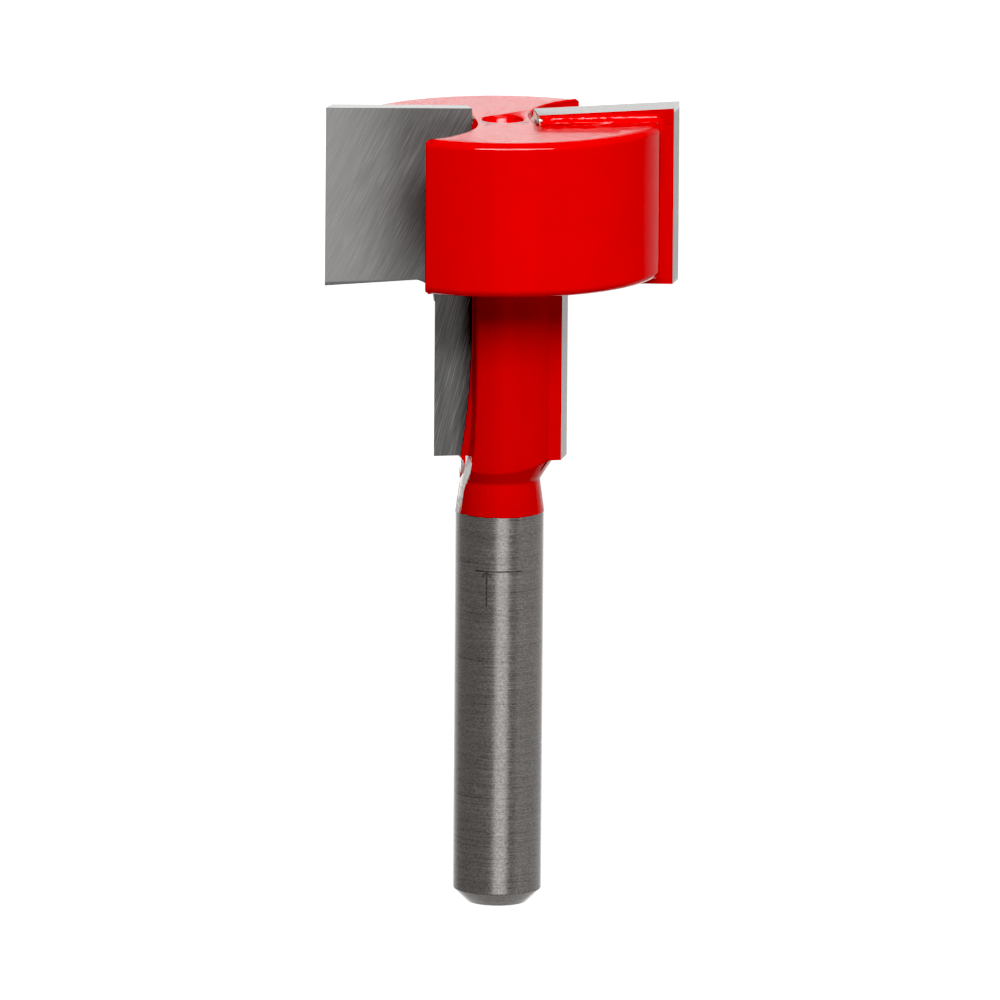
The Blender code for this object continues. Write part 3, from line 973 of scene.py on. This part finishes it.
# Solder round the backs of the large cutters
seam = {
    "reach": 0.55,  # legs of the fillet
    "sideX": 10.58,  # where the lobe's corner meets the cutter
    "neckX": 4.6,
    "inset": 0.02,  # into the cutter
    "buried": 0.2,  # and into the head
    "arcSteps": 8,
    "bendSteps": 5,
    "stepLength": 0.08,
    "lump": 0.026,
    "lumpSize": 0.24,
    "fineLump": 0.5,
    "fineSize": 0.4,
    "lumpStart": 0.03,  # behind the cutter
    "cornerRadius": 1.65,  # hollow between the second large cutter and the small one under it
    "cornerX": 4.75,  # edge of the small cutter
    "cornerHeight": 45.2,  # edge of the large cutter
    "cornerDepth": 0.6,
    "cornerSteps": 20,
    "cornerInset": 0.4,
    "cornerRise": 0.1,
    "merge": 0.004,
    "smoothAngle": 50.0,
    "smallSmoothAngle": 60.0,
}


def sweepSeam(bm):  # a hollow fillet that runs along the top, down the side and back underneath
    reach = seam["reach"]
    top, low = bit["endHeight"], bit["headHeight"]
    startX = bit["largeInner"] + seam["inset"]
    first = bm.verts.new((startX, backY, top + reach))
    centre = (startX, backY - reach, top + reach)
    last = sweepArc(bm, first, centre, (1, 0, 0), -90, seam["arcSteps"])
    last = lineTo(bm, last, (startX, backY - reach, top - seam["buried"]))
    last = lineTo(bm, last, (startX, backY + seam["inset"], top - seam["buried"]))
    bm.edges.new((last, first))
    ring = [edge for edge in bm.edges if not edge.link_faces]
    bmesh.ops.contextual_create(bm, geom=ring)

    def run(ring, way, length):
        steps = max(1, round(length / seam["stepLength"]))
        for _ in range(steps):
            raised = bmesh.ops.extrude_edge_only(bm, edges=ring)["geom"]
            bmesh.ops.translate(bm, vec=way * (length / steps), verts=onlyVerts(raised))
            ring = onlyEdges(raised)
        return ring

    def bend(ring, centre):
        swept = bmesh.ops.spin(
            bm,
            geom=ring,
            cent=centre,
            axis=(0, 1, 0),
            dvec=(0, 0, 0),
            angle=math.radians(90),
            steps=seam["bendSteps"],
            use_merge=False,
            use_duplicate=False,
        )
        return onlyEdges(swept["geom_last"])

    ring = run(ring, Vector((1, 0, 0)), seam["sideX"] - startX)
    ring = bend(ring, (seam["sideX"], backY, top))
    ring = run(ring, Vector((0, 0, -1)), top - low)
    ring = bend(ring, (seam["sideX"], backY, low))
    ring = run(ring, Vector((-1, 0, 0)), seam["sideX"] - seam["neckX"])
    bmesh.ops.contextual_create(bm, geom=ring)


def fillCorner(bm):  # ground flush with the cutting faces
    radius = seam["cornerRadius"]
    faceY = -bit["faceOffset"] - seam["merge"]
    x, z = seam["cornerX"], seam["cornerHeight"]
    left, top = x - seam["cornerInset"], z + seam["cornerRise"]
    first = bm.verts.new((x + radius, faceY, z))
    centre = (x + radius, faceY, z - radius)
    last = sweepArc(bm, first, centre, (0, 1, 0), -90, seam["cornerSteps"])
    last = lineTo(bm, last, (left, faceY, z - radius))
    last = lineTo(bm, last, (left, faceY, top))
    last = lineTo(bm, last, (x + radius, faceY, top))
    bm.edges.new((last, first))
    base = bmesh.ops.contextual_create(bm, geom=bm.edges[:])["faces"]
    raised = bmesh.ops.extrude_face_region(bm, geom=base, use_keep_orig=True)["geom"]
    bmesh.ops.translate(bm, vec=(0, -seam["cornerDepth"], 0), verts=onlyVerts(raised))


def makeLargeSeam(name, node, side):
    materials = [solderMaterial, faceCarbide]
    bm = bmesh.new()
    if side < 0:
        fillCorner(bm)
        for face in bm.faces:
            face.material_index = materials.index(faceCarbide)
    sweepSeam(bm)
    bmesh.ops.recalc_face_normals(bm, faces=bm.faces)
    size = seam["lumpSize"]
    for vert in bm.verts:
        if vert.co.y < backY - seam["lumpStart"]:
            fine = noise.noise(vert.co / (size * seam["fineSize"]))
            rise = noise.noise(vert.co / size) + seam["fineLump"] * fine
            vert.co += vert.normal * rise * seam["lump"]
    if side < 0:
        halfTurn(bm, bm.verts)
    plain = bitBmesh(node, seam["merge"])
    copy = bpy.data.meshes.new("plainSeam")
    plain.to_mesh(copy)
    plain.free()
    bm.from_mesh(copy)
    bpy.data.meshes.remove(copy)
    finishPiece(bm, name, node, materials, seam["smoothAngle"])


def makeSmallSeam(name, node):
    bm = bitBmesh(node, seam["merge"])
    finishPiece(bm, name, node, [solderMaterial], seam["smallSmoothAngle"])


makeBody()
for number, side in ((1, 1), (2, -1)):
    makeCutter(f"largeCutter{number}", f"large_cutter_{number}", side)
    makeCutter(f"smallCutter{number}", f"small_cutter_{number}", side)
    makeLargeSeam(f"largeSeam{number}", f"large_braze_seam_{number}", side)
    makeSmallSeam(f"smallSeam{number}", f"small_braze_seam_{number}")


# Floor
floorLook = {
    "radius": 3.0,
    "corners": 96,
    "colour": (0.3, 0.3, 0.3),
    "roughness": (0.55, 0.65),
    "specular": 0.1,
    "grainScale": 30.0,
    "grainLimits": (0.3, 0.7),
    "glow": 0.97,  # a sheet lit from below, so shadows stay faint
    "shadeGlow": 0.12,  # what that light adds to the bit
}


def makeFloor():
    bm = bmesh.new()
    corners = floorLook["corners"]
    bmesh.ops.create_circle(bm, cap_ends=True, radius=floorLook["radius"], segments=corners)
    floor = toObject(bm, "floor")
    material, tree, shader = newMaterial("paleFloor")
    coords = addNode(tree, "ShaderNodeTexCoord").outputs["Object"]
    grain = addNoise(tree, coords, floorLook["grainScale"])[0]
    diffuse = addNode(tree, "ShaderNodeLightPath").outputs["Is Diffuse Ray"]
    setShader(
        tree,
        shader,
        {
            "Base Color": floorLook["colour"],
            "Roughness": remap(tree, grain, *floorLook["grainLimits"], *floorLook["roughness"]),
            "Specular IOR Level": floorLook["specular"],
            "Emission Color": (1.0, 1.0, 1.0),
            "Emission Strength": mixValues(tree, diffuse, floorLook["glow"], floorLook["shadeGlow"]),
        },
    )
    floor.data.materials.append(material)


# Camera
view = {
    "distance": 2.347,
    "aim": 29.0,  # along the bit, mm
    "turn": 9.3,  # degrees about the bit's axis
    "rise": 11.16,  # degrees from square-on towards the cutting end
    "roll": 0.447,
    "focal": 1185.32,  # mm on the sensor
    "sensor": 36.0,
    "offset": (0.0114, 0.1045),  # mm, right and up
    "farthest": 20.0,
}


def viewAxes():
    turn = math.radians(view["turn"])
    rise = math.radians(view["rise"])
    roll = math.radians(view["roll"])
    right = Vector((math.cos(turn), -math.sin(turn), 0))
    away = Vector((math.sin(turn), math.cos(turn), 0))
    back = Vector((0, 0, math.sin(rise))) - away * math.cos(rise)
    up = back.cross(right)
    turned = (right * math.cos(roll) + up * math.sin(roll), up * math.cos(roll) - right * math.sin(roll))
    return turned[0], turned[1], back


def makeCamera():
    right, up, back = viewAxes()
    spot = Vector((0, 0, view["aim"])) * mm + back * view["distance"]
    spot += (right * view["offset"][0] + up * view["offset"][1]) * mm
    data = bpy.data.cameras.new("camera")
    data.lens = view["focal"]
    data.sensor_width = view["sensor"]
    data.clip_end = view["farthest"]
    camera = bpy.data.objects.new("camera", data)
    bpy.context.scene.collection.objects.link(camera)
    local = Matrix((right, up, back)).transposed().to_4x4()
    local.translation = spot
    camera.matrix_world = bitPlace @ local
    bpy.context.scene.camera = camera


# Light. A softbox shades the bit, or else shows only in its gloss
studio = {
    "domeShade": 0.135,  # how strongly the tent lights the bit
    "domeGloss": 0.8,  # how bright it is in reflections
    "blackLevel": 0.034,  # the photograph's deep blacks
    "distance": 1.4,
    "softboxes": {
        "mainSoftbox": {"turn": 5, "tilt": 36, "size": (0.9, 0.6), "power": 19.6, "shade": True},
        "topSoftbox": {"turn": 0, "tilt": 78, "size": (1.2, 1.2), "power": 4.5, "shade": True},
        "lowSoftbox": {"turn": 5, "tilt": -48, "size": (0.9, 0.6), "power": 1.2, "shade": True},
        "lowStrip": {"turn": 7.5, "tilt": -11.2, "size": (0.8, 1.2), "power": 7.0, "shade": False},
        "highStrip": {"turn": 6, "tilt": 34, "size": (1.3, 0.2), "power": 84.0, "shade": False},
    },
}


def makeSoftbox(name, look):  # turned right of the camera and tilted towards the cutting end
    right, _, back = viewAxes()
    along = Vector((0, 0, 1))
    level = (back - along * back.z).normalized()
    turn, tilt = math.radians(look["turn"]), math.radians(look["tilt"])
    facing = (level * math.cos(turn) + right * math.sin(turn)) * math.cos(tilt) + along * math.sin(tilt)
    facing.normalize()
    tall = (along - facing * along.dot(facing)).normalized()
    data = bpy.data.lights.new(name, "AREA")
    data.shape = "RECTANGLE"
    data.size, data.size_y = look["size"]
    data.energy = look["power"]
    light = bpy.data.objects.new(name, data)
    light.visible_diffuse = look["shade"]
    light.visible_glossy = not look["shade"]
    bpy.context.scene.collection.objects.link(light)
    local = Matrix((tall.cross(facing), tall, facing)).transposed().to_4x4()
    local.translation = Vector((0, 0, view["aim"])) * mm + facing * studio["distance"]
    light.matrix_world = bitPlace @ local


def makeLight():
    world = bpy.data.worlds.new("softTent")
    bpy.context.scene.world = world
    world.use_nodes = True
    tree = world.node_tree
    background = tree.nodes["Background"]
    glossy = addNode(tree, "ShaderNodeLightPath").outputs["Is Glossy Ray"]
    feed(tree, background.inputs["Color"], (1.0, 1.0, 1.0))
    strength = mixValues(tree, glossy, studio["domeShade"], studio["domeGloss"])
    feed(tree, background.inputs["Strength"], strength)
    for name, look in studio["softboxes"].items():
        makeSoftbox(name, look)


def setTone():
    settings = bpy.context.scene.view_settings
    settings.view_transform = "Standard"
    settings.use_curve_mapping = True
    settings.curve_mapping.black_level = (studio["blackLevel"],) * 3
    settings.curve_mapping.update()


makeFloor()
makeCamera()
makeLight()
setTone()
print("floor, camera and light ready")
